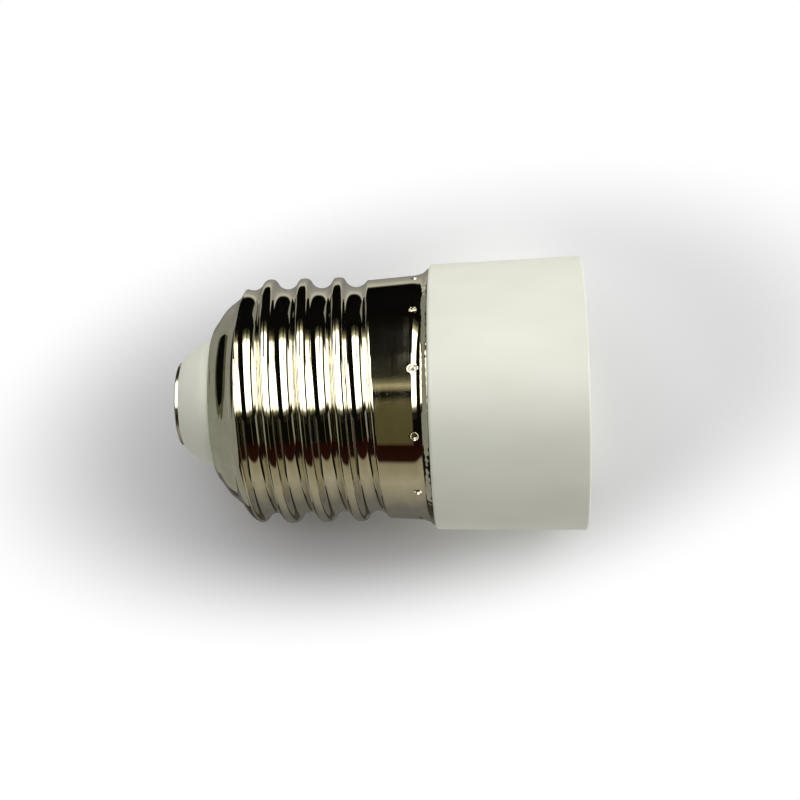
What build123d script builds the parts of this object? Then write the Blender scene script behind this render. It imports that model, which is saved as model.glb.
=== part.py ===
import os
from math import atan, cos, degrees, sin, sqrt

from build123d import *

os.makedirs("parts", exist_ok=True)

# E27 screw shell: drawn from sheet, with a rolled round thread
thread_radius = 13.05
thread_pitch = 3.629
thread_depth = 1.096
thread_height = 18.8
thread_run_out = 0.3
sheet = 0.3
flare_height = 1.3
flare_width = 0.5
band_height = 4.72
dome_height = 4.6
dome_break = 0.56
dome_mouth_radius = 7.0

# White moulded housing: collar, spigot inside the screw shell, and nose
collar_height = 15.8
collar_overhang = 1.35
collar_taper = 0.4
collar_edge = 0.35
recess_depth = 5.0
wall = 1.9
nose_height = 3.15
nose_taper = 2.3
tip_wall = 2.7

# E14 socket sleeve, with the strip that links it to the screw shell
sleeve_radius = 6.6
sleeve_sheet = 0.35
lip_width = 1.9
link_width = 4.0
link_rise = 1.4

# Centre contact: leaf spring and riveted tip
leaf_width = 4.0
leaf_sheet = 0.4
leaf_bend = 0.8
leaf_drop = 2.2
leaf_end_rise = 0.7
tip_edge = 0.25
tip_dome = 0.5
tip_flat = 0.6
shank_radius = 1.5
clinch_width = 0.6
clinch_height = 0.5

# Fits between pieces
press_gap = 0.05
clearance = 0.3

# Thread form: two equal arcs that meet half way up the flank
arc_angle = 2 * atan(2 * thread_depth / thread_pitch)
arc_radius = thread_pitch / (4 * sin(arc_angle))
root_radius = thread_radius - thread_depth

# Heights along the axis, from the mouth rim to the tip
groove_start = collar_height + flare_height + band_height
land_top = groove_start - thread_pitch / 2 - clearance
link_z = land_top - link_rise - press_gap
sleeve_end = link_z + sleeve_sheet
shelf_z = sleeve_end + 2 * clearance
shoulder_z = collar_height + thread_height
dome_break_z = shoulder_z + dome_break * dome_height
dome_top = shoulder_z + dome_height
nose_top = dome_top + nose_height
well_top = nose_top - tip_wall

# Radii of the screw shell
dome_break_radius = (thread_radius + dome_mouth_radius) / 2
band_bore = thread_radius - sheet
thread_bore = root_radius - sheet

# Radii of the housing
mouth_radius = thread_radius + collar_overhang
land_radius = band_bore - press_gap
spigot_radius = thread_bore - 4 * clearance
nose_radius = dome_mouth_radius - clearance
tip_radius = nose_radius - nose_taper
sleeve_outside = sleeve_radius + sleeve_sheet
pocket_radius = sleeve_outside + 2 * clearance
recess_radius = sleeve_outside + lip_width + clearance
well_radius = nose_radius - wall
shank_bore = shank_radius + press_gap

# Link: curved to bear on the inside of the band
link_radius = band_bore - press_gap

# Leaf: the sides of its web keep clear of the well
web_x = leaf_sheet / 2 - sqrt((well_radius - clearance) ** 2 - (leaf_width / 2) ** 2)
foot_z = well_top - leaf_sheet / 2
tongue_z = shelf_z + leaf_sheet / 2 + clearance
clinch_top = well_top - leaf_sheet
clinch_radius = shank_radius + clinch_width


def root_point(share):
    turn = share * arc_angle
    return root_radius + arc_radius * (1 - cos(turn)), arc_radius * sin(turn)


def crest_point(share):
    turn = share * arc_angle
    return thread_radius - arc_radius * (1 - cos(turn)), thread_pitch / 2 - arc_radius * sin(turn)


def groove_outline(lift):
    # The round groove as five chords: its root, two flanks and two crest sides that run on past the metal
    low_r, low_z = root_point(0.4)
    mid_r, mid_z = crest_point(0.75)
    high_r, high_z = crest_point(0.25)
    outer_r = thread_radius + clearance
    outer_z = mid_z + (high_z - mid_z) * (outer_r - mid_r) / (high_r - mid_r)
    side = [(low_r + lift, low_z), (mid_r + lift, mid_z), (outer_r + lift, outer_z)]
    return side + [(r, -z) for r, z in reversed(side)]


def groove_tool(turns, lift):
    # Climbs from the +X side; with a lift it starts that far outside its root and sinks in
    height = thread_pitch * turns
    slope = atan(lift / height)
    with BuildLine() as path:
        Helix(thread_pitch / cos(slope), height, root_radius + lift, cone_angle=-degrees(slope))
    with BuildSketch(Plane.XZ) as outline:
        Polygon(*groove_outline(lift), align=None)
    return sweep(outline.sketch, path=path.line, is_frenet=True, mode=Mode.PRIVATE)


# The groove sinks in over the band, then climbs until it leaves the metal at the dome
entry_groove = groove_tool(thread_run_out, thread_depth + clearance)
entry_groove = entry_groove.rotate(Axis.Z, 180 - 360 * thread_run_out)
entry_groove = entry_groove.translate((0, 0, groove_start - thread_pitch * thread_run_out))
main_groove = groove_tool((dome_break_z - groove_start) / thread_pitch, 0)
main_groove = main_groove.rotate(Axis.Z, 180).translate((0, 0, groove_start))

with BuildPart() as screw_shell:
    with BuildSketch(Plane.XZ):
        with BuildLine():
            Polyline(
                (band_bore, collar_height),
                (thread_radius + flare_width, collar_height),
                (thread_radius, collar_height + flare_height),
                (thread_radius, shoulder_z),
                (dome_break_radius, dome_break_z),
                (dome_mouth_radius, dome_top),
                (dome_mouth_radius, dome_top - 1.5 * sheet),
                (thread_bore, shoulder_z),
                (thread_bore, land_top + clearance),
                (band_bore, land_top + clearance),
                close=True,
            )
        make_face()
    revolve(axis=Axis.Z)
    add(main_groove, mode=Mode.SUBTRACT)
    add(entry_groove, mode=Mode.SUBTRACT)
screw_shell.part.label = "screw_shell"
export_step(screw_shell.part, "parts/screw_shell.step")

with BuildPart() as housing:
    with BuildSketch(Plane.XZ):
        with BuildLine():
            Polyline(
                (recess_radius, 0),
                (mouth_radius - collar_edge, 0),
                (mouth_radius, collar_edge),
                (mouth_radius - collar_taper, collar_height),
                (land_radius, collar_height),
                (land_radius, land_top),
                (spigot_radius, land_top),
                (spigot_radius, shoulder_z),
                (nose_radius, shoulder_z),
                (nose_radius, dome_top),
                (tip_radius, nose_top),
                (shank_bore, nose_top),
                (shank_bore, well_top),
                (well_radius, well_top),
                (well_radius, shelf_z),
                (pocket_radius, shelf_z),
                (pocket_radius, recess_depth),
                (recess_radius, recess_depth),
                close=True,
            )
        make_face()
    revolve(axis=Axis.Z)
    # Window that lets the link out to the band
    with BuildSketch(Plane.XY.offset(link_z - clearance)):
        with Locations((0, mouth_radius / 2)):
            Rectangle(link_width + 2 * clearance, mouth_radius)
        Circle(well_radius, mode=Mode.SUBTRACT)
    extrude(amount=land_top - link_z + clearance, mode=Mode.SUBTRACT)
housing.part.label = "housing"
export_step(housing.part, "parts/housing.step")

with BuildPart() as socket_shell:
    with BuildSketch(Plane.XZ):
        with BuildLine():
            Polyline(
                (sleeve_radius, recess_depth - sleeve_sheet),
                (sleeve_outside + lip_width, recess_depth - sleeve_sheet),
                (sleeve_outside + lip_width, recess_depth),
                (sleeve_outside, recess_depth),
                (sleeve_outside, sleeve_end),
                (sleeve_radius, sleeve_end),
                close=True,
            )
        make_face()
    revolve(axis=Axis.Z)
    for inner_radius, height in (
        (sleeve_radius + sleeve_sheet / 2, sleeve_sheet),
        (link_radius - sleeve_sheet, link_rise),
    ):
        with BuildSketch(Plane.XY.offset(link_z)):
            Circle(link_radius)
            Circle(inner_radius, mode=Mode.SUBTRACT)
            with Locations((0, link_radius / 2)):
                Rectangle(link_width, link_radius, mode=Mode.INTERSECT)
        extrude(amount=height)
socket_shell.part.label = "socket_shell"
export_step(socket_shell.part, "parts/socket_shell.step")

with BuildPart() as contact_spring:
    with BuildSketch(Plane.XZ):
        with BuildLine():
            FilletPolyline(
                (clinch_radius + clearance, foot_z),
                (web_x, foot_z),
                (web_x, tongue_z + leaf_drop),
                (0, tongue_z),
                (clinch_radius + clearance, tongue_z + leaf_end_rise),
                radius=leaf_bend,
            )
        trace(line_width=leaf_sheet)
    extrude(amount=leaf_width / 2, both=True)
    with BuildSketch(Plane.XY.offset(clinch_top)):
        Circle(shank_bore)
    extrude(amount=leaf_sheet, mode=Mode.SUBTRACT)
contact_spring.part.label = "contact_spring"
export_step(contact_spring.part, "parts/contact_spring.step")

with BuildPart() as tip_contact:
    with BuildSketch(Plane.XZ):
        with BuildLine():
            Polyline(
                (0, clinch_top - clinch_height),
                (clinch_radius, clinch_top - clinch_height),
                (clinch_radius, clinch_top),
                (shank_radius, clinch_top),
                (shank_radius, nose_top),
                (tip_radius, nose_top),
                (tip_radius, nose_top + tip_edge),
                (tip_flat * tip_radius, nose_top + tip_edge + tip_dome),
                (0, nose_top + tip_edge + tip_dome),
                close=True,
            )
        make_face()
    revolve(axis=Axis.Z)
tip_contact.part.label = "tip_contact"
export_step(tip_contact.part, "parts/tip_contact.step")
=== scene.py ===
from math import atan, atan2, cos, hypot, pi, radians, sin, sqrt, tan

import bmesh
import bpy
from mathutils import Matrix, Vector


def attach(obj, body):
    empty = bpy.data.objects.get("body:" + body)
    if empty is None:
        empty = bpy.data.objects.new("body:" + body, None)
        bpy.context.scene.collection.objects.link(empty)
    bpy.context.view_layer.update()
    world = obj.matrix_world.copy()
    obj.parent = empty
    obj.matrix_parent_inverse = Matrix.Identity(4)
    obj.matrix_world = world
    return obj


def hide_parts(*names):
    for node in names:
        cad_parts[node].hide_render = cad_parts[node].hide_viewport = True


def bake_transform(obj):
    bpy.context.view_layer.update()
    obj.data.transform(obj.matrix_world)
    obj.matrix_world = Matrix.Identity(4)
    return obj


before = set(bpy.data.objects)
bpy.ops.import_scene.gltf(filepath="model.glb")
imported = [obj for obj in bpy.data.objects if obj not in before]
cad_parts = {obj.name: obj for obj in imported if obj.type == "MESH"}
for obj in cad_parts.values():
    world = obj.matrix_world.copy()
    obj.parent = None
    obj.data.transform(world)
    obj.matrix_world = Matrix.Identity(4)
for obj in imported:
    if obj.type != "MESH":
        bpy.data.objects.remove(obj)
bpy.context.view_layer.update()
scene = bpy.context.scene
mm = 0.001
weld = 0.0001 * mm  # points nearer than this are one
print("frame: nodes", sorted(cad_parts))


# sRGB hex to the linear colour that a socket takes
def linearColour(code):
    parts = [int(code[i:i + 2], 16) / 255 for i in (1, 3, 5)]
    return [p / 12.92 if p <= 0.04045 else ((p + 0.055) / 1.055) ** 2.4 for p in parts] + [1.0]


# adds one node: settings are properties or input values, links are input name -> socket
def addNode(tree, kind, settings=None, links=None):
    node = tree.nodes.new(kind)
    for key, value in (settings or {}).items():
        if key in node.inputs:
            node.inputs[key].default_value = value
        else:
            setattr(node, key, value)
    for key, socket in (links or {}).items():
        tree.links.new(socket, node.inputs[key])
    return node


def newMaterial(name):
    material = bpy.data.materials.new(name)
    material.use_nodes = True
    material.node_tree.nodes.clear()
    return material, material.node_tree


def setRamp(ramp, stops):
    elements = ramp.color_ramp.elements
    while len(elements) < len(stops):
        elements.new(0.5)
    for element, (place, code) in zip(elements, stops):
        element.position = place
        element.color = linearColour(code)


# noise on Object coordinates; size is one grain in mm along x, y and z
def grainNoise(tree, size, detail=3.0, roughness=0.5):
    place = addNode(tree, "ShaderNodeTexCoord")
    stretch = addNode(
        tree, "ShaderNodeMapping",
        {"Scale": [1 / (side * mm) for side in size]},
        {"Vector": place.outputs["Object"]},
    )
    return addNode(
        tree, "ShaderNodeTexNoise",
        {"Scale": 1.0, "Detail": detail, "Roughness": roughness},
        {"Vector": stretch.outputs["Vector"]},
    )


# PBT, injection moulded in a fine sparked tool: warm white, nearly matt, with faint flow clouds and a grain
def whitePbtMoulded():
    material, tree = newMaterial("whitePbtMoulded")
    clouds = grainNoise(tree, (7.0, 7.0, 11.0), 2.0)
    tint = addNode(tree, "ShaderNodeValToRGB", links={"Fac": clouds.outputs["Fac"]})
    setRamp(tint, [(0.3, "#DFE0D3"), (0.7, "#E8E9DD")])
    skin = grainNoise(tree, (0.35, 0.35, 0.35), 4.0)  # real spark grain is finer; drawn coarser to show
    gloss = addNode(
        tree, "ShaderNodeMapRange",
        {"From Min": 0.3, "From Max": 0.7, "To Min": 0.5, "To Max": 0.66},
        {"Value": skin.outputs["Fac"]},
    )
    bump = addNode(
        tree, "ShaderNodeBump", {"Strength": 0.12, "Distance": 0.02 * mm}, {"Height": skin.outputs["Fac"]}
    )
    shader = addNode(
        tree, "ShaderNodeBsdfPrincipled",
        {"IOR": 1.52},
        {
            "Base Color": tint.outputs["Color"],
            "Roughness": gloss.outputs["Result"],
            "Normal": bump.outputs["Normal"],
        },
    )
    addNode(tree, "ShaderNodeOutputMaterial", links={"Surface": shader.outputs["BSDF"]})
    return material


# a drawn and plated metal: streak lines follow the drawing, smears soften the mirror here and there
def platedMetal(name, dark, light, rough, streak, smear, relief):
    material, tree = newMaterial(name)
    lines = grainNoise(tree, streak, 3.0, 0.6)
    clouds = grainNoise(tree, smear, 3.0, 0.6)
    tint = addNode(tree, "ShaderNodeValToRGB", links={"Fac": clouds.outputs["Fac"]})
    setRamp(tint, [(0.3, dark), (0.7, light)])
    polish = addNode(
        tree, "ShaderNodeMapRange",
        {"From Min": 0.3, "From Max": 0.75, "To Min": rough[0], "To Max": rough[1]},
        {"Value": lines.outputs["Fac"]},
    )
    bump = addNode(
        tree, "ShaderNodeBump", {"Strength": 0.5, "Distance": relief * mm}, {"Height": lines.outputs["Fac"]}
    )
    shader = addNode(
        tree, "ShaderNodeBsdfPrincipled",
        {"Metallic": 1.0},
        {
            "Base Color": tint.outputs["Color"],
            "Roughness": polish.outputs["Result"],
            "Normal": bump.outputs["Normal"],
        },
    )
    addNode(tree, "ShaderNodeOutputMaterial", links={"Surface": shader.outputs["BSDF"]})
    return material


whitePbt = whitePbtMoulded()
# bright nickel over drawn brass: nearly a mirror, warm, with drawing lines round the cup
brightNickel = platedMetal(
    "nickelPlatedBrassDrawn", "#D6D0C0", "#E6E2D4", (0.02, 0.06), (9.0, 9.0, 0.22), (2.5, 2.5, 1.6), 0.0006
)
# barrel plated nickel inside the socket: the same metal, softer
dullNickel = platedMetal(
    "nickelPlatedBrassBarrel", "#BDB5A2", "#D6D0C2", (0.16, 0.3), (6.0, 6.0, 0.25), (1.5, 1.5, 1.5), 0.001
)
# phosphor bronze strip, half bright, with rolling lines along the strip
springBronze = platedMetal(
    "phosphorBronzeRolled", "#B07C4A", "#C99A63", (0.2, 0.34), (6.0, 0.12, 6.0), (1.2, 1.2, 1.2), 0.0008
)
# tinned rivet head: pale, pressed, with faint rubbing
tinnedBrass = platedMetal(
    "tinnedBrassPressed", "#C9C4B8", "#DEDAD0", (0.12, 0.28), (0.5, 0.18, 0.5), (0.9, 0.9, 0.9), 0.0012
)
print("materials: 5 finishes")


def smoothStep(low, high, value):
    share = min(1.0, max(0.0, (value - low) / (high - low)))
    return share * share * (3 - 2 * share)


# rounds corners, with that many mm taken off the edges that meet there
def roundCorners(bm, corners, offset, segments=6):
    bmesh.ops.bevel(
        bm, geom=corners, offset=offset * mm, segments=segments, profile=0.5, affect="VERTICES", material=-1
    )


# spins a row of (radius, height) points in mm round Z;
# cuts splits each edge of the row, rounds is point -> mm that its rounding takes off
def lathe(outline, columns, closed=True, cuts=0, rounds=None):
    bm = bmesh.new()
    row = [bm.verts.new((r * mm, 0, z * mm)) for r, z in outline]
    pairs = list(zip(row, row[1:] + row[:1])) if closed else list(zip(row, row[1:]))
    for pair in pairs:
        bm.edges.new(pair)
    if cuts:
        bmesh.ops.subdivide_edges(bm, edges=bm.edges[:], cuts=cuts)
    for index, offset in (rounds or {}).items():
        roundCorners(bm, [row[index]], offset)
    bmesh.ops.spin(
        bm, geom=bm.verts[:] + bm.edges[:], cent=(0, 0, 0), axis=(0, 0, 1), angle=2 * pi,
        steps=columns, use_merge=True,
    )
    bmesh.ops.remove_doubles(bm, verts=bm.verts[:], dist=weld)
    return bm


# extrudes a ring of edges to a radius and a height in mm, and gives the new ring
def growRing(bm, ring, radius, z):
    grown = bmesh.ops.extrude_edge_only(bm, edges=ring)["geom"]
    for vert in [g for g in grown if isinstance(g, bmesh.types.BMVert)]:
        angle = atan2(vert.co.y, vert.co.x)
        vert.co = (radius * cos(angle) * mm, radius * sin(angle) * mm, z * mm)
    return [g for g in grown if isinstance(g, bmesh.types.BMEdge)]


# merges doubles and turns the faces outwards
def turnOut(bm):
    bmesh.ops.remove_doubles(bm, verts=bm.verts[:], dist=weld)
    bmesh.ops.recalc_face_normals(bm, faces=bm.faces[:])


# makes the object; edges that turn by more than sharp degrees stay crisp
def putPiece(bm, name, finish, sharp=38):
    mesh = bpy.data.meshes.new(name)
    bm.to_mesh(mesh)
    bm.free()
    for polygon in mesh.polygons:
        polygon.use_smooth = True
    mesh.set_sharp_from_angle(angle=radians(sharp))
    mesh.materials.append(finish)
    piece = bpy.data.objects.new(name, mesh)
    scene.collection.objects.link(piece)
    return piece


# cuts the shape of a closed bmesh out of a piece and keeps the plain mesh
def cutOut(piece, cutter):
    turnOut(cutter)
    tool = putPiece(cutter, "cutter", piece.data.materials[0])
    cut = piece.modifiers.new("cut", "BOOLEAN")
    cut.operation = "DIFFERENCE"
    cut.solver = "EXACT"
    cut.object = tool
    whole = piece.evaluated_get(bpy.context.evaluated_depsgraph_get())
    mesh = bpy.data.meshes.new_from_object(whole)
    piece.modifiers.clear()
    oldMesh = piece.data
    piece.data = mesh
    mesh.name = piece.name
    bpy.data.meshes.remove(oldMesh)
    bpy.data.objects.remove(tool)


# drop below the crest of a round thread, at a distance from the middle of its groove;
# with edge at 1 the groove's side runs on straight, to a sharp edge
def grooveDrop(distance, pitch, depth, crestShare=0.5, edge=0.0):
    half = pitch / 2
    lean = 2 * atan(depth / half)
    crestArc = crestShare * half / sin(lean)
    rootArc = half / sin(lean) - crestArc
    away = abs(distance)
    flank = rootArc * sin(lean)
    if away < flank:
        return depth - rootArc + sqrt(rootArc ** 2 - away ** 2)
    rounded = crestArc - sqrt(crestArc ** 2 - (half - away) ** 2) if away < half else 0.0
    straight = crestArc * (1 - cos(lean)) - (away - flank) * tan(lean)
    return rounded + (straight - rounded) * edge


# height along a smooth line through (place, height) knots
def smoothLine(knots, place):
    if place <= knots[0][0]:
        return knots[0][1]
    for i in range(len(knots) - 1):
        if place <= knots[i + 1][0]:
            break
    else:
        return knots[-1][1]

    def slope(k):
        low, high = knots[max(k - 1, 0)], knots[min(k + 1, len(knots) - 1)]
        return (high[1] - low[1]) / (high[0] - low[0])

    (x0, y0), (x1, y1) = knots[i], knots[i + 1]
    step = x1 - x0
    t = (place - x0) / step
    return (
        y0 * (2 * t ** 3 - 3 * t ** 2 + 1)
        + slope(i) * step * (t ** 3 - 2 * t ** 2 + t)
        + y1 * (3 * t ** 2 - 2 * t ** 3)
        + slope(i + 1) * step * (t ** 3 - t ** 2)
    )


# the smaller of two radii, rounded over a width where they meet
def softMin(a, b, width):
    mix = min(1.0, max(0.0, 0.5 + (b - a) / (2 * width)))
    return b + (a - b) * mix - width * mix * (1 - mix)


# E27 screw shell: one drawn cup, thread rolled into it, flared and staked at the collar
shellSet = {
    "columns": 320,
    "blank": 13,  # radius of the plain tube that the shell is shaped from
    "heights": [15.85, 21.5, 27.2, 32.9, 36.6, 38.85],
    "rows": 44,  # between two of these heights
    "pitch": 3.629,
    "depth": 1.08,
    "crestShare": 0.36,  # crests are rounded tighter than grooves
    "grooveZ": 21.82,  # middle of the groove on the -X side
    "edgeAway": 1.27,  # from the middle of the first groove to the band's edge
    "edgeRound": 0.3,
    "crestRound": 0.1,  # where the crest isn't flattened
    "crestLift": 0.07,  # how far the crest's arc would stand above its flattened top
    "crestBow": 1.8,  # radius across the flattened top
    "crestCorner": 0.03,  # rounding at the sides of the flattened top
    "flatEnd": (32.4, 33.4),  # heights between which the crest turns round again, below the dome
    "entryFrom": 72,  # degrees where the groove starts to sink in
    "entryTo": 180,
    "crest": 12.97,
    # lip, flare, and the band that draws in towards the thread
    "skirt": [
        (15.85, 13.61), (15.9, 13.585), (16.0, 13.51), (16.2, 13.34), (16.38, 13.19), (16.5, 13.127),
        (16.75, 13.042), (17.0, 12.968), (17.3, 12.917), (17.6, 12.89), (19.2, 12.78), (20.8, 12.67),
        (22.0, 12.588),
    ],
    # crests, corner and dome
    "crown": [
        (21.0, 12.97), (30.0, 12.97), (33.6, 12.97), (34.2, 12.88), (34.7, 12.6), (35.2, 12.07), (35.7, 11.3),
        (36.25, 10.8), (36.85, 10.32), (37.4, 9.77), (38.05, 8.87), (38.4, 8.42), (38.6, 8.05), (38.75, 7.6),
        (38.82, 7.25), (38.85, 7.0),
    ],
    # the last crest climbs with the thread until the dome takes it: (degrees, mm)
    "climb": [
        (0, -0.12), (90, -0.08), (180, 0.0), (221, 0.25), (255, 0.46), (290, 0.46), (314, 0.2), (332, -0.08),
        (360, -0.12),
    ],
    "climbFade": (33.0, 34.0, 35.3, 36.9),  # heights where that climb comes in and goes out
    # the plain inner wall, from the lip to the dome: (radius, height)
    "inner": [(12.5, 15.85), (12.5, 20.0), (11.5, 20.0), (11.5, 34.2), (7.0, 38.2)],
    "stakes": 12,
    "stakeFirst": 282.6,  # degrees
    "stakeZ": 17.25,
    "stakeRadius": 0.42,
    "stakeFloor": (12.644, -0.069),  # radius, and its change per mm of height, like the band's
    "stakeReach": 1.0,  # mm past which no stake is near
    "rimHeight": 0.006,  # metal that is pushed up round the stake
    # shares of the stake's radius: end of the flat floor, start and end of the rim, end of the finer mesh
    "stakeFlat": 0.7,
    "stakeRim": (0.75, 1.5),
    "stakeFine": 1.6,
    "stakeCuts": 3,
    "ripples": 96,  # fine flutes that the flaring tool leaves on the lip
    "rippleHeight": 0.025,
    "rippleEnd": (16.0, 16.6),  # heights between which the flutes run out
}


def shellRadius(angle, z, s=shellSet):
    degrees = angle * 180 / pi % 360
    pitch = s["pitch"]
    lowest = s["grooveZ"] + pitch * (degrees - 180) / 360
    turn = round((z - lowest) / pitch)
    along = degrees + 360 * turn  # how far along the groove, from the first turn
    sunk = smoothStep(s["entryFrom"], s["entryTo"], along)
    # the first turn's lower side ends the band with an edge that climbs with the thread
    opened = smoothStep(s["entryFrom"], s["entryTo"], degrees)
    edge = lowest + pitch * (1 - opened) - s["edgeAway"]
    band = smoothLine(s["skirt"], z)
    fade = s["climbFade"]
    climb = smoothLine(s["climb"], degrees) * (smoothStep(*fade[:2], z) - smoothStep(*fade[2:], z))
    crown = smoothLine(s["crown"], z - climb)
    radius = band + (crown - band) * smoothStep(edge, edge + s["edgeAway"], z)
    if sunk > 0:
        away = z - lowest - pitch * turn
        # the lower side of the first turn, and of the second's start, runs on to the band's edge
        sharp = (1.0, 1 - opened)[turn] if away < 0 and turn < 2 else 0.0
        flat = sunk * (1 - sharp) * (1 - smoothStep(*s["flatEnd"], z))
        lift = s["crestLift"] * flat
        drop = grooveDrop(away, pitch, s["depth"] + lift, s["crestShare"], sharp)
        blend = s["crestRound"] + (s["edgeRound"] - s["crestRound"]) * sharp
        blend += (s["crestCorner"] - blend) * flat
        radius -= flat * (pitch / 2 - abs(away)) ** 2 / (2 * s["crestBow"])
        radius = softMin(radius, s["crest"] + lift - drop * sunk, blend)
    return radius + s["rippleHeight"] * (1 - smoothStep(*s["rippleEnd"], z)) * sin(angle * s["ripples"])


def buildShell(s=shellSet):
    bm = lathe([(s["blank"], z) for z in s["heights"]], s["columns"], closed=False, cuts=s["rows"] - 1)
    stakes = [radians(s["stakeFirst"] - 360 * k / s["stakes"]) for k in range(s["stakes"])]

    # how far the nearest stake's middle is, as a share of the stake's radius
    def stakeGap(x, y, z):
        rise = z / mm - s["stakeZ"]
        if abs(rise) > s["stakeReach"]:
            return s["stakeReach"] / s["stakeRadius"]
        angle = atan2(y, x)
        turns = [abs((angle - stake + pi) % (2 * pi) - pi) for stake in stakes]
        return hypot(min(turns) * s["crest"], rise) / s["stakeRadius"]

    near = {f for f in bm.faces if stakeGap(*f.calc_center_median()) < s["stakeFine"]}
    edges = [e for e in bm.edges if any(f in near for f in e.link_faces)]
    bmesh.ops.subdivide_edges(bm, edges=edges, cuts=s["stakeCuts"], use_grid_fill=True)
    rimStart, rimEnd = s["stakeRim"]
    for vert in bm.verts:
        x, y, z = vert.co
        angle = atan2(y, x)
        radius = shellRadius(angle, z / mm)
        gap = stakeGap(x, y, z)
        if gap < rimEnd:
            floor = s["stakeFloor"][0] + s["stakeFloor"][1] * (z / mm - s["stakeZ"])
            rim = s["rimHeight"] * smoothStep(rimStart, 1.0, gap) * (1 - smoothStep(1.0, rimEnd, gap))
            radius += (floor - radius) * (1 - smoothStep(s["stakeFlat"], 1.0, gap)) + rim
        vert.co = (radius * cos(angle) * mm, radius * sin(angle) * mm, z)
    # the inner wall starts on the lip and closes on the mouth of the dome
    ring = [e for e in bm.edges if e.is_boundary and e.verts[0].co.z < s["heights"][1] * mm]
    for radius, z in s["inner"] + [(s["crown"][-1][1], s["heights"][-1])]:
        ring = growRing(bm, ring, radius, z)
    turnOut(bm)
    return putPiece(bm, "screwShell", brightNickel, 50)


screwShell = buildShell()
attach(screwShell, "adapter_body")
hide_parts("screw_shell")
print("screw shell:", len(screwShell.data.polygons), "faces")


# white moulding: collar, spigot in the shell, nose
housingSet = {
    "columns": 200,
    "outline": [
        (9.15, 0), (14.4, 0), (14.0, 15.8), (12.45, 15.8), (12.45, 19.7), (10.45, 19.7), (10.45, 34.6),
        (6.95, 34.6), (6.95, 39.1), (6.63, 39.85), (6.04, 40.71), (5.25, 41.78), (4.64, 42.35), (1.55, 42.35),
        (1.55, 39.65), (4.8, 39.65), (4.8, 19.2), (7.55, 19.2), (7.55, 5.0), (9.15, 5.0),
    ],
    "rounds": {0: 0.4, 1: 0.24, 2: 0.32, 7: 0.3, 9: 0.3, 10: 0.4, 11: 0.4, 12: 0.2, 18: 0.3, 19: 0.4},
    "window": (2.3, 17.9555, 19.75),  # half width, bottom and top of the slot for the link
    "windowReach": (5.0, 14.0),  # where the slot starts and ends along +Y
}


def buildHousing(s=housingSet):
    bm = lathe(s["outline"], s["columns"], rounds=s["rounds"])
    turnOut(bm)
    piece = putPiece(bm, "housingBody", whitePbt, 35)
    half, low, high = s["window"]
    near, far = s["windowReach"]
    slot = bmesh.new()
    bmesh.ops.create_cube(slot, size=1)
    bmesh.ops.scale(slot, vec=(2 * half * mm, (far - near) * mm, (high - low) * mm), verts=slot.verts[:])
    bmesh.ops.translate(slot, vec=(0, (far + near) / 2 * mm, (high + low) / 2 * mm), verts=slot.verts[:])
    cutOut(piece, slot)
    return piece


housingBody = buildHousing()
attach(housingBody, "adapter_body")
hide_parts("housing")
print("housing:", len(housingBody.data.polygons), "faces")


# E14 socket sleeve: rolled thread, lip at its mouth, strip that links it to the screw shell
sleeveSet = {
    "columns": 180,
    "rows": 90,
    "bottom": 5.35,
    "top": 18.43,
    "radius": 6.62,
    "pitch": 2.822,
    "depth": 0.8,
    "grooveZ": 7.2,
    "threadFade": (5.6, 7.0, 16.4, 17.6),  # heights where the thread comes in and goes out
    "sheet": 0.35,
    "lip": [(6.68, 5.12), (6.82, 4.95), (7.05, 4.85), (7.4, 4.83), (8.7, 4.83)],
    "linkWidth": 4.0,
    "linkCuts": 7,
    "link": [
        (7.0, 18.43), (9.5, 18.43), (11.7, 18.43), (12.0, 18.5), (12.2, 18.7), (12.27, 19.0), (12.27, 19.65),
    ],
}


def buildSleeve(s=sleeveSet):
    tube = [(s["radius"], s["bottom"]), (s["radius"], s["top"])]
    bm = lathe(tube, s["columns"], closed=False, cuts=s["rows"] - 1)
    start, full, ease, end = s["threadFade"]
    for vert in bm.verts:
        angle = atan2(vert.co.y, vert.co.x)
        z = vert.co.z / mm
        lowest = s["grooveZ"] + s["pitch"] * angle / (2 * pi)
        gap = z - lowest - s["pitch"] * round((z - lowest) / s["pitch"])
        fade = smoothStep(start, full, z) * (1 - smoothStep(ease, end, z))
        radius = s["radius"] + fade * (s["depth"] / 2 - grooveDrop(gap, s["pitch"], s["depth"]))
        vert.co = (radius * cos(angle) * mm, radius * sin(angle) * mm, vert.co.z)
    ring = [e for e in bm.edges if e.is_boundary and e.verts[0].co.z < s["grooveZ"] * mm]
    for radius, z in s["lip"]:
        ring = growRing(bm, ring, radius, z)
    # the strip starts on the sleeve's end, where it was folded out
    half = s["linkWidth"] / 2 * mm
    line = bm.edges.new([bm.verts.new((x, s["radius"] * mm, s["top"] * mm)) for x in (-half, half)])
    bmesh.ops.subdivide_edges(bm, edges=[line], cuts=s["linkCuts"])
    strip = [e for e in bm.edges if e.is_wire]
    for vert in {v for e in strip for v in e.verts}:
        vert.co.y = sqrt((s["radius"] * mm) ** 2 - vert.co.x ** 2)
    for radius, z in s["link"]:
        grown = bmesh.ops.extrude_edge_only(bm, edges=strip)["geom"]
        strip = [g for g in grown if isinstance(g, bmesh.types.BMEdge)]
        for vert in [g for g in grown if isinstance(g, bmesh.types.BMVert)]:
            vert.co = (vert.co.x, sqrt((radius * mm) ** 2 - vert.co.x ** 2), z * mm)
    turnOut(bm)
    piece = putPiece(bm, "socketSleeve", dullNickel, 50)
    wall = piece.modifiers.new("wall", "SOLIDIFY")
    wall.thickness = s["sheet"] * mm
    wall.offset = 0
    return piece


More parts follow.
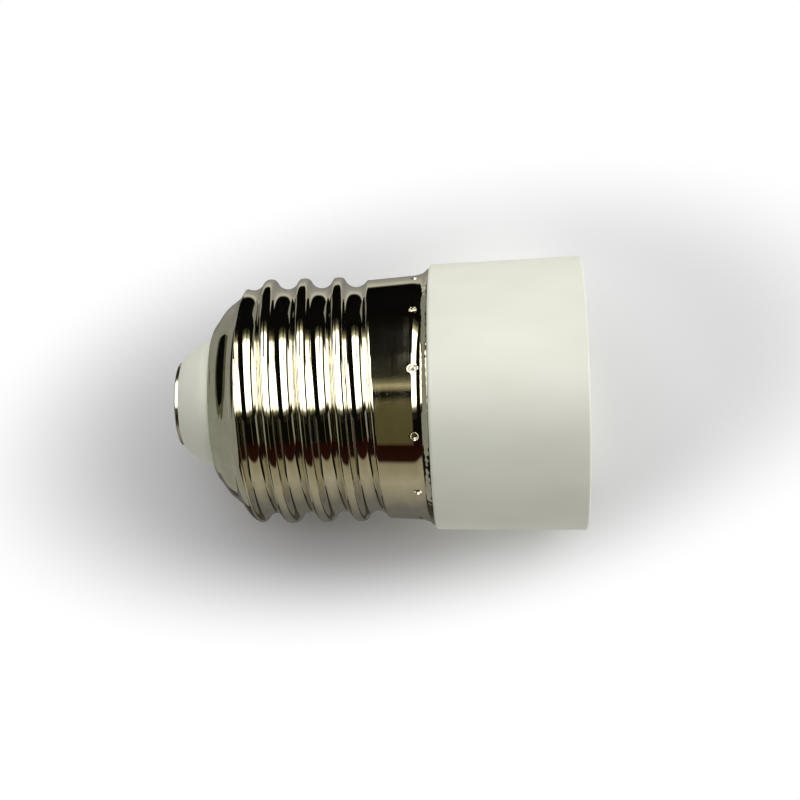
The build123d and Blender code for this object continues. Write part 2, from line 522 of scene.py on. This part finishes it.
socketSleeve = buildSleeve()
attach(socketSleeve, "adapter_body")
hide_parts("socket_shell")
print("socket sleeve:", len(socketSleeve.data.polygons), "faces")


# bronze leaf that presses on the lamp's end contact
leafSet = {
    "path": [(2.4, 39.45), (-3.831, 39.45), (-3.831, 21.9055), (0, 19.7055), (2.4, 20.4055)],
    "bends": {1: 0.8, 2: 0.463, 3: 0.341},
    "straight": 6.0,  # stretches longer than this are cut up into shorter ones
    "straightCuts": 16,
    "width": 4.0,
    "sheet": 0.4,
    "endFrom": 2.3,  # past this x a corner belongs to one of the two ends
    "corner": 0.9,
    "hole": 1.58,
    "holeDepth": 2.0,
    "edge": 0.06,
}


def buildLeaf(s=leafSet):
    bm = bmesh.new()
    half = s["width"] / 2 * mm
    row = [bm.verts.new((x * mm, -half, z * mm)) for x, z in s["path"]]
    for pair in zip(row, row[1:]):
        bm.edges.new(pair)
    for index, offset in s["bends"].items():
        roundCorners(bm, [row[index]], offset)
    long = [e for e in bm.edges if e.calc_length() > s["straight"] * mm]
    bmesh.ops.subdivide_edges(bm, edges=long, cuts=s["straightCuts"])
    grown = bmesh.ops.extrude_edge_only(bm, edges=bm.edges[:])["geom"]
    moved = [g for g in grown if isinstance(g, bmesh.types.BMVert)]
    bmesh.ops.translate(bm, vec=(0, 2 * half, 0), verts=moved)
    ends = [v for v in bm.verts if v.co.x > s["endFrom"] * mm]
    roundCorners(bm, ends, s["corner"], 5)
    turnOut(bm)
    piece = putPiece(bm, "contactLeaf", springBronze, 35)
    sheet = piece.modifiers.new("sheet", "SOLIDIFY")
    sheet.thickness = s["sheet"] * mm
    sheet.offset = 0
    hole = bmesh.new()
    bmesh.ops.create_cone(
        hole, cap_ends=True, segments=40, radius1=s["hole"] * mm, radius2=s["hole"] * mm,
        depth=s["holeDepth"] * mm,
    )
    bmesh.ops.translate(hole, vec=(0, 0, s["path"][0][1] * mm), verts=hole.verts[:])
    cutOut(piece, hole)
    return piece


contactLeaf = buildLeaf()
edge = contactLeaf.modifiers.new("edge", "BEVEL")
edge.width = leafSet["edge"] * mm
edge.segments = 2
edge.limit_method = "ANGLE"
edge.angle_limit = radians(50)
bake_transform(contactLeaf)
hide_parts("contact_spring")
print("leaf:", len(contactLeaf.data.polygons), "faces")


# rivet that is the centre contact: head on the nose, shank, clinch over the leaf
tipSet = {
    "columns": 120,
    "outline": [
        (0, 38.75), (2.1, 38.75), (2.1, 39.23), (1.5, 39.25), (1.5, 42.35), (4.4, 42.35), (4.4, 42.7),
        (3.5, 42.95), (1.8, 43.07), (0, 43.1),
    ],
    "rounds": {1: 0.2, 6: 0.1, 7: 0.5, 8: 0.6},
}
tipBm = lathe(tipSet["outline"], tipSet["columns"], closed=False, rounds=tipSet["rounds"])
turnOut(tipBm)
tipContact = putPiece(tipBm, "tipContact", tinnedBrass, 35)
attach(tipContact, "adapter_body")
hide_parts("tip_contact")
print("tip contact:", len(tipContact.data.polygons), "faces")


# camera of the photo: the object lies on its side, tip to the left
cameraSet = {
    "place": (-0.54, -167.99, 8.67),
    "aim": (-0.22, 0, 19.36),
    "up": (0.9996, 0, -0.0275),
    "lens": 71.3,
    "clip": (0.01, 10),
}
camera = bpy.data.objects.new("camera", bpy.data.cameras.new("camera"))
scene.collection.objects.link(camera)
scene.camera = camera
back = (Vector(cameraSet["place"]) - Vector(cameraSet["aim"])).normalized()
right = Vector(cameraSet["up"]).cross(back).normalized()
facing = Matrix((right, back.cross(right), back)).transposed().to_4x4()
camera.matrix_world = Matrix.Translation(Vector(cameraSet["place"]) * mm) @ facing
camera.data.lens = cameraSet["lens"]
camera.data.clip_start, camera.data.clip_end = cameraSet["clip"]


# table that the object lies on: pale, keeps the shadow near the object, plain white further out
tableSet = {
    "y": 14.6,
    "z": 20,
    "size": 900,
    "tone": "#F2F2F6",
    "middle": (-0.6, 14.6, 17),
    "reach": (27, 1, 58),  # half axes of the oval that ends in white, its long axis turned a little
    "turn": -11,
    "fadeFrom": 0.58,  # share of that reach where the white starts
}


def buildTable(s=tableSet):
    material, tree = newMaterial("tablePaper")
    place = addNode(tree, "ShaderNodeTexCoord")
    oval = addNode(
        tree, "ShaderNodeMapping",
        {
            "vector_type": "TEXTURE",
            "Location": [side * mm for side in s["middle"]],
            "Rotation": (0, radians(s["turn"]), 0),
            "Scale": [side * mm for side in s["reach"]],
        },
        {"Vector": place.outputs["Object"]},
    )
    offset = addNode(tree, "ShaderNodeVectorMath", {"operation": "LENGTH"}, {0: oval.outputs[0]})
    fade = addNode(
        tree, "ShaderNodeMapRange",
        {"interpolation_type": "SMOOTHSTEP", "From Min": s["fadeFrom"], "From Max": 1.0},
        {"Value": offset.outputs["Value"]},
    )
    paper = addNode(tree, "ShaderNodeBsdfDiffuse", {"Color": linearColour(s["tone"])})
    white = addNode(tree, "ShaderNodeEmission", {"Strength": 1.0})
    front = addNode(
        tree, "ShaderNodeMixShader",
        links={0: fade.outputs[0], 1: paper.outputs[0], 2: white.outputs[0]},
    )
    clear = addNode(tree, "ShaderNodeBsdfTransparent")
    side = addNode(tree, "ShaderNodeNewGeometry")
    both = addNode(
        tree, "ShaderNodeMixShader",
        links={0: side.outputs["Backfacing"], 1: front.outputs[0], 2: clear.outputs[0]},
    )
    addNode(tree, "ShaderNodeOutputMaterial", links={"Surface": both.outputs[0]})
    bm = bmesh.new()
    bmesh.ops.create_grid(bm, x_segments=1, y_segments=1, size=s["size"] / 2 * mm)
    bmesh.ops.rotate(bm, cent=(0, 0, 0), matrix=Matrix.Rotation(pi / 2, 3, "X"), verts=bm.verts[:])
    bmesh.ops.translate(bm, vec=(0, s["y"] * mm, s["z"] * mm), verts=bm.verts[:])
    table = putPiece(bm, "table", material)
    table.visible_diffuse = False
    table.visible_glossy = False
    table.visible_transmission = False
    table.visible_shadow = False


buildTable()

# cards round the set that only reflections see, glowing: painted reflections of dark flags and pale paper
# that give the metal its bands.
# Each card runs from one angle to another round the object, 0 towards the camera and 90 up in its picture,
# between two (radius, z) places in mm, with one colour or a row of colours by that angle.
paintedReflectionSet = {
    "room": [
        (-180, "#5E5C58"), (-125, "#72706A"), (-85, "#AAA48E"), (-63, "#948D74"), (-59, "#2A120C"),
        (-46, "#240E09"), (-40, "#0C0B08"), (100, "#0A0A08"), (130, "#060605"), (134, "#D2CFBC"),
        (144, "#A4A29A"), (180, "#5E5C58"),
    ],
    "window": [
        (-14, "#0C0B08"), (-10, "#4A4838"), (-5, "#F4F2E4"), (-1, "#FFFFF6"), (62, "#FFFFF6"),
        (66, "#77735A"), (72, "#2A281C"), (78, "#0C0B08"),
    ],
    "bandRoom": [
        (-44, "#3A1A10"), (-41, "#565034"), (-4, "#5E5738"), (1, "#16160F"), (5.5, "#17160F"), (8, "#8C8460"),
        (11, "#B5AC86"), (14, "#75704F"), (19, "#2A281C"), (40, "#181710"), (84, "#0A0A08"),
    ],
    "cream": [
        (-14, "#0C0B08"), (-10, "#4A4434"), (-5, "#F2EAD4"), (-1, "#FFF7E4"), (62, "#FFF7E4"),
        (66, "#776F55"), (72, "#2A261A"), (78, "#0C0B08"),
    ],
    "lowWing": [(-160, "#4A463E"), (-120, "#2A2620"), (-95, "#14110C"), (-60, "#14110C")],
    "glow": {"window": 4.0, "cream": 2.2},  # 1 where none is given
    "cards": [
        ("roomWall", 68, 343, (165, -170), (165, 210), "room"),
        ("windowPane", -20, 78, (164, -29), (164, 116), "window"),
        ("bandCard", -44, 40, (163, 45.5), (163, 57.5), "bandRoom"),
        ("bandCardTop", 40, 84, (163, 43), (163, 64), "bandRoom"),
        ("frontDark", -20, 78, (164, 116), (164, 182), "#100E0A"),
        ("frontCream", -20, 78, (164, 182), (164, 210), "cream"),
        ("frontFarCream", -20, 78, (165, 210), (85, 210), "cream"),
        ("frontFarPaper", -20, 78, (85, 210), (62, 210), "#8E9084"),
        ("frontNearFlag", -20, 78, (164, -29), (164, -169), "#0C0B08"),
        ("frontNearEdge", -20, 78, (164, -169), (110, -169), "#0C0B08"),
        ("frontNearPane", -20, 78, (165, -170), (20, -170), "window"),
        ("nearRing", 78, 340, (165, -170), (30, -170), "#4A463C"),
        ("lowWingFar", 255, 300, (163, 135), (163, 209), "lowWing"),
        ("lowWingFarEnd", 200, 255, (163, 60), (163, 115), "lowWing"),
        ("lowFarDark", 255, 300, (164, 209), (120, 209), "lowWing"),
        ("lowWingNear", 255, 300, (163, -170), (163, -115), "lowWing"),
        ("lowWingNearEnd", 200, 255, (163, -20), (163, 10), "lowWing"),
        ("backPaper", 105, 255, (162, 125), (162, 209), "#909086"),
        ("farRing", 78, 340, (165, 210), (62, 210), "#8E9084"),
        ("farPaper", 0, 360, (64, 212), (0.5, 212), "#8E9084"),
    ],
    "slant": {"lowWingFarEnd": 60, "lowWingNearEnd": -85},  # mm that a card climbs between its angles
    "steps": 90,
    # straight dark strips past the tip, also painted reflections: middle in mm, length and width, turn in
    # degrees, colour
    "strips": [
        ("farFlag", (71.6, 48.7, 207), (190, 48), 43.8, "#0A0A0A"),
        ("farFlagEdge", (47.7, 73.7, 207), (190, 20), 43.8, "#55543F"),
    ],
}


# a card's glow, one colour or a row of colours by angle: a painted reflection, seen only in reflections
def glowCard(name, tone, s=paintedReflectionSet):
    material, tree = newMaterial(name)
    glow = addNode(tree, "ShaderNodeEmission", {"Strength": s["glow"].get(tone, 1.0)})
    if tone in s:
        place = addNode(tree, "ShaderNodeTexCoord")
        turned = addNode(
            tree, "ShaderNodeMapping", {"Rotation": (0, 0, pi / 2)}, {"Vector": place.outputs["Object"]}
        )
        split = addNode(tree, "ShaderNodeSeparateXYZ", links={0: turned.outputs[0]})
        angle = addNode(
            tree, "ShaderNodeMath", {"operation": "ARCTAN2"}, {0: split.outputs["Y"], 1: split.outputs["X"]}
        )
        share = addNode(
            tree, "ShaderNodeMapRange", {"From Min": -pi, "From Max": pi}, {"Value": angle.outputs[0]}
        )
        ramp = addNode(tree, "ShaderNodeValToRGB", links={"Fac": share.outputs[0]})
        setRamp(ramp, [((a + 180) / 360, code) for a, code in s[tone]])
        tree.links.new(ramp.outputs["Color"], glow.inputs["Color"])
    else:
        glow.inputs["Color"].default_value = linearColour(tone)
    addNode(tree, "ShaderNodeOutputMaterial", links={"Surface": glow.outputs[0]})
    return material


def putCard(bm, name, tone):
    card = putPiece(bm, name, glowCard(name, tone))
    card.visible_camera = False
    card.visible_diffuse = False
    card.visible_shadow = False


def buildCards(s=paintedReflectionSet):
    for name, start, end, low, high, tone in s["cards"]:
        bm = bmesh.new()
        start, end = radians(start), radians(end)
        line = [bm.verts.new((r * sin(start) * mm, -r * cos(start) * mm, z * mm)) for r, z in (low, high)]
        bm.edges.new(line)
        bmesh.ops.spin(
            bm, geom=bm.verts[:] + bm.edges[:], cent=(0, 0, 0), axis=(0, 0, 1), angle=end - start,
            steps=s["steps"], dvec=(0, 0, s["slant"].get(name, 0) / s["steps"] * mm),
        )
        putCard(bm, name, tone)
    for name, middle, size, turn, tone in s["strips"]:
        bm = bmesh.new()
        bmesh.ops.create_grid(bm, x_segments=1, y_segments=1, size=0.5)
        bmesh.ops.scale(bm, vec=(size[0] * mm, size[1] * mm, 1), verts=bm.verts[:])
        bmesh.ops.rotate(bm, cent=(0, 0, 0), matrix=Matrix.Rotation(radians(turn), 3, "Z"), verts=bm.verts[:])
        bmesh.ops.translate(bm, vec=Vector(middle) * mm, verts=bm.verts[:])
        putCard(bm, name, tone)


buildCards()

# plain studio light: one soft lamp above the camera, pale world all round
lampSet = {
    "place": (114, -228, -4),
    "aim": (0, 0, 20),
    "size": (230, 310),
    "watts": 0.56,
    # each world level has the span of its direction, along Y or Z, over which it changes
    "fillTone": "#F4F3EE",
    "fill": (0.1, 1.26),  # pale world in front, and the table's bounce from behind
    "fillSpan": (-0.2, 0.2),
    "mouthFill": (1.1, 0.0),  # pale wall past the mouth
    "mouthSpan": (-0.8, -0.6),
    "backdrop": (0.7, 1.0),  # what a camera sees past the object: pale grey from behind, else white
    "backdropSpan": (-0.6, -0.1),
}


def buildLight(s=lampSet):
    lamp = bpy.data.objects.new("softLamp", bpy.data.lights.new("softLamp", "AREA"))
    scene.collection.objects.link(lamp)
    lamp.data.shape = "RECTANGLE"
    lamp.data.size, lamp.data.size_y = [side * mm for side in s["size"]]
    lamp.data.energy = s["watts"]
    place = Vector(s["place"]) * mm
    lamp.location = place
    lamp.rotation_euler = (Vector(s["aim"]) * mm - place).to_track_quat("-Z", "Y").to_euler()
    lamp.visible_glossy = False
    world = bpy.data.worlds.new("studio")
    scene.world = world
    world.use_nodes = True
    tree = world.node_tree
    tree.nodes.clear()
    ray = addNode(tree, "ShaderNodeLightPath")
    seen = addNode(
        tree, "ShaderNodeMath", {"operation": "MAXIMUM"},
        {0: ray.outputs["Is Camera Ray"], 1: ray.outputs["Is Glossy Ray"]},
    )
    through = addNode(
        tree, "ShaderNodeMath", {"operation": "MAXIMUM"},
        {0: seen.outputs[0], 1: ray.outputs["Is Transmission Ray"]},
    )
    direction = addNode(tree, "ShaderNodeTexCoord")
    split = addNode(tree, "ShaderNodeSeparateXYZ", links={0: direction.outputs["Generated"]})
    levels = {}
    for key, span, axis in (
        ("fill", "fillSpan", "Y"), ("mouthFill", "mouthSpan", "Z"), ("backdrop", "backdropSpan", "Y"),
    ):
        levels[key] = addNode(
            tree, "ShaderNodeMapRange",
            {"From Min": s[span][0], "From Max": s[span][1], "To Min": s[key][0], "To Max": s[key][1]},
            {"Value": split.outputs[axis]},
        ).outputs["Result"]
    total = addNode(
        tree, "ShaderNodeMath", {"operation": "ADD"}, {0: levels["fill"], 1: levels["mouthFill"]}
    )
    fill = addNode(
        tree, "ShaderNodeBackground",
        {"Color": linearColour(s["fillTone"])}, {"Strength": total.outputs["Value"]},
    )
    white = addNode(
        tree, "ShaderNodeBackground", {"Color": linearColour("#FFFFFF")}, {"Strength": levels["backdrop"]}
    )
    both = addNode(
        tree, "ShaderNodeMixShader", links={0: through.outputs[0], 1: fill.outputs[0], 2: white.outputs[0]}
    )
    addNode(tree, "ShaderNodeOutputWorld", links={"Surface": both.outputs[0]})


buildLight()
scene.view_settings.view_transform = "Standard"
print("camera, table, cards and light in place")
